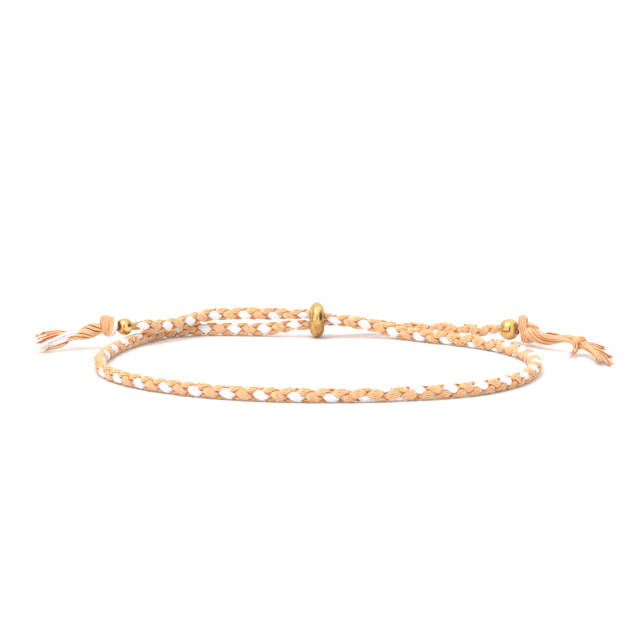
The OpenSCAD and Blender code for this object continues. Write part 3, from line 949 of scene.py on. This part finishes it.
# What tarnish, scratches and the ring's lower half add to the roughness of clean brass
TARNISH_ROUGH, SCRATCH_ROUGH, RING_ROUGH, CLEAN_ROUGH = 0.1, 0.08, 0.1, 0.09
brass, start, shader = finish_named("aged_brass", {"Metallic": 1.0})
place = start.node("ShaderNodeTexCoord", out=OBJECT)
tarnished = noise(place, TARNISH_SCALE, detail=4, rough=0.6)
tarnish = tarnished.math("MULTIPLY_ADD", TARNISH_GAIN, TARNISH_START, clamp=True)
scratches = noise(place, SCRATCH_SCALE, detail=3, rough=0.7)
across, _, height = split(place)
banded = noise(vector(across * BANDS_ACROSS, 0.0, height * BANDS_UP), 1.0)
bands = banded.math("MULTIPLY_ADD", BAND_GAIN, BAND_START, clamp=True)
low_down = (RING_SHADE_BELOW * MM - height).math("MULTIPLY", 1 / (RING_SHADE_OVER * MM), clamp=True)
on_ring = (RING_REACH * MM - across.math("ABSOLUTE")).math("MULTIPLY", 1 / MM, clamp=True)
low_down = low_down * on_ring
# Random tarnish, plus painted shade and darker painted reflections in bands on the ring's lower
# half
tarnish_and_painted_shade = (tarnish + low_down * bands * BANDS_SHADE + low_down * RING_SHADE).math("MINIMUM", 1.0)
rough = tarnish * TARNISH_ROUGH + scratches * SCRATCH_ROUGH + low_down * RING_ROUGH + CLEAN_ROUGH
drive(shader, "Base Color", mix(tarnish_and_painted_shade, BRIGHT_BRASS, TARNISH_AND_SHADE_BRASS))
drive(shader, "Roughness", rough)
drive(shader, "Normal", bump(scratches, SCRATCH_BUMP, SCRATCH_DEPTH * MM))
print("brass ready")

# %% [markdown]
# The ring and the beads are turned on a lathe, so each is one outline spun round its hole.
# The ring's outside is an oval and the beads' is a circle, and the holes' edges are eased.

# %% Lathed brass
SLIDER_X = -0.43
SLIDER_D = 5.1
SLIDER_HOLE_D = 3.2
SLIDER_W = 2.15
LEFT_BEAD_D, LEFT_HOLE_D = 2.4, 1.24
RIGHT_BEAD_D, RIGHT_HOLE_D = 3, 1.38
LATHE_STEPS = 96
OUTLINE_POINTS = 49
EDGE_EASE = 0.07
# Points of an eased edge, in eases: how far in from the face and how far out from the hole
EASED = ((0.1, 0.35), (0.45, 0.1), (1, 0))
# The outside ends where it comes this near the face, in eases
FACE_CLEAR = 0.02


def lathe(name, node, outer_r, half_w, hole_r, matrix):
    """A drilled oval turned round its X axis. half_w is its half width where it is widest."""
    rim = math.acos(hole_r / outer_r)
    angle = np.linspace(-rim, rim, OUTLINE_POINTS)
    outside = np.stack([half_w * np.sin(angle), outer_r * np.cos(angle)], axis=1)
    reach = half_w * math.sin(rim)
    eased = np.array([(reach - EDGE_EASE * a, hole_r + EDGE_EASE * b) for a, b in EASED])
    keep = np.abs(outside[:, 0]) < reach - EDGE_EASE * FACE_CLEAR
    profile = np.vstack([outside[keep], eased, eased[::-1] * (-1, 1)])
    spin = (2 * np.pi * np.arange(LATHE_STEPS) / LATHE_STEPS)[:, None]
    x = np.broadcast_to(profile[:, 0], (LATHE_STEPS, len(profile)))
    corners = np.stack([x, np.cos(spin) * profile[:, 1], np.sin(spin) * profile[:, 1]], -1)
    ids = np.arange(LATHE_STEPS * len(profile)).reshape(LATHE_STEPS, len(profile))
    right = np.roll(ids, -1, axis=0)
    after, right_after = np.roll(ids, -1, axis=1), np.roll(right, -1, axis=1)
    quads = np.stack([ids, right, right_after, after], -1).reshape(-1, 4)
    mesh = bpy.data.meshes.new(name)
    placed = corners.reshape(-1, 3) @ np.array(matrix.to_3x3()).T + np.array(matrix.translation)
    mesh.from_pydata((placed * MM).tolist(), [], quads[:, ::-1].tolist())
    mesh.materials.append(brass)
    mesh.shade_smooth()
    piece = bpy.data.objects.new(name, mesh)
    scene.collection.objects.link(piece)
    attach(piece, "root")
    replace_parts(piece, node)
    print(name, "has", 2 * len(quads), "triangles")


def on_route(row_number):
    """Place of a bead on the braid's line, with its hole along it."""
    ahead_way = unit(np.subtract(ROUTE[row_number + 1][:3], ROUTE[row_number - 1][:3]))
    turned = Vector(ahead_way).to_track_quat("X", "Z").to_matrix().to_4x4()
    return Matrix.Translation(Vector(PART_SHIFT + ROUTE[row_number][:3])) @ turned


slider_edge = math.sqrt(1 - (SLIDER_HOLE_D / SLIDER_D) ** 2)
lathe("slider_ring", "brass_slider", SLIDER_D / 2, SLIDER_W / 2 / slider_edge, SLIDER_HOLE_D / 2,
      Matrix.Translation(Vector(PART_SHIFT) + Vector((SLIDER_X, 0, SLIDER_D / 2))))
lathe("left_bead", "stopper_bead_left", LEFT_BEAD_D / 2, LEFT_BEAD_D / 2, LEFT_HOLE_D / 2,
      on_route(1))
lathe("right_bead", "stopper_bead_right", RIGHT_BEAD_D / 2, RIGHT_BEAD_D / 2, RIGHT_HOLE_D / 2,
      on_route(len(ROUTE) - 2))

# %% [markdown]
# The table is a plain white sheet under very soft light, so bright that its shadows almost
# vanish. Light spreads a little inside the sheet, which softens the shadow along the cords.

# %% Table
TABLE_SIZE = 12000
GRAIN_SCALE = 900.0
GRAIN_DARK = (0.885, 0.872, 0.9, 1)
GRAIN_LIGHT = (0.9, 0.888, 0.912, 1)
table_mesh = bpy.data.meshes.new("table")
half = TABLE_SIZE / 2 * MM
table_corners = [(-half, -half, 0), (half, -half, 0), (half, half, 0), (-half, half, 0)]
table_mesh.from_pydata(table_corners, [], [(0, 1, 2, 3)])
table = bpy.data.objects.new("table", table_mesh)
scene.collection.objects.link(table)
paper, start, shader = finish_named("paper", {
    "Roughness": 0.9,
    "Specular IOR Level": 0.1,
    "Subsurface Weight": 0.6,
    "Subsurface Radius": (1.0, 0.9, 1.0),
    "Subsurface Scale": 1.2 * MM,
})
grain = noise(start.node("ShaderNodeTexCoord", out=OBJECT), GRAIN_SCALE)
drive(shader, "Base Color", mix(grain, GRAIN_DARK, GRAIN_LIGHT))
table_mesh.materials.append(paper)
print("table of", TABLE_SIZE / 1000, "m")

# %% [markdown]
# The room has a white ceiling. Its walls are bright windows and darker corners, one after
# another, and they show as bands in the brass. One broad lamp above on the left gives the
# cords a slightly darker underside.

# %% Light
WORLD_STRENGTH = 1.35
CEILING_GAIN, CEILING_START = 3.3, -1.5
# How bright the walls are, from 0 to 1 of the way round the room
ROUND_THE_ROOM = [
    (0, 0.85), (0.22, 0.85), (0.245, 0.3), (0.27, 0.3), (0.29, 0.9), (0.38, 1),
    (0.465, 1), (0.485, 0.1), (0.51, 0.1), (0.53, 1), (0.62, 1), (0.66, 0.1),
    (0.77, 0.1), (0.82, 0.7), (1, 0.85),
]
WHITE = (1, 1, 1, 1)
world = bpy.data.worlds.new("studio")
scene.world = world
world.use_nodes = True
way = Socket(world.node_tree, None).node("ShaderNodeTexCoord", out=GENERATED)
x, y, z = split(way)
heading = x.math("ARCTAN2", y * -1).math("MULTIPLY_ADD", 0.5 / math.pi, 0.5)
stops = [(place, (grey, grey, grey, 1)) for place, grey in ROUND_THE_ROOM]
room_light = heading.node("ShaderNodeValToRGB", {"stops": stops}, (heading,))
ceiling = z.math("MULTIPLY_ADD", CEILING_GAIN, CEILING_START, clamp=True)
background = world.node_tree.nodes["Background"]
background.inputs["Strength"].default_value = WORLD_STRENGTH
world.node_tree.links.new(mix(ceiling, room_light, WHITE).link, background.inputs["Color"])


def soft_sun(name, heading, height, spread, power):
    """A lamp at infinity as wide as a softbox. Heading 0 is behind the camera, 90 to the right."""
    data = bpy.data.lights.new(name, "SUN")
    data.angle = math.radians(spread)
    data.energy = power
    lamp = bpy.data.objects.new(name, data)
    lamp.rotation_euler = (math.radians(90 - height), 0, math.radians(heading))
    scene.collection.objects.link(lamp)


soft_sun("softbox_above_left", heading=-50, height=62, spread=40, power=1.0)
print("world strength", WORLD_STRENGTH)
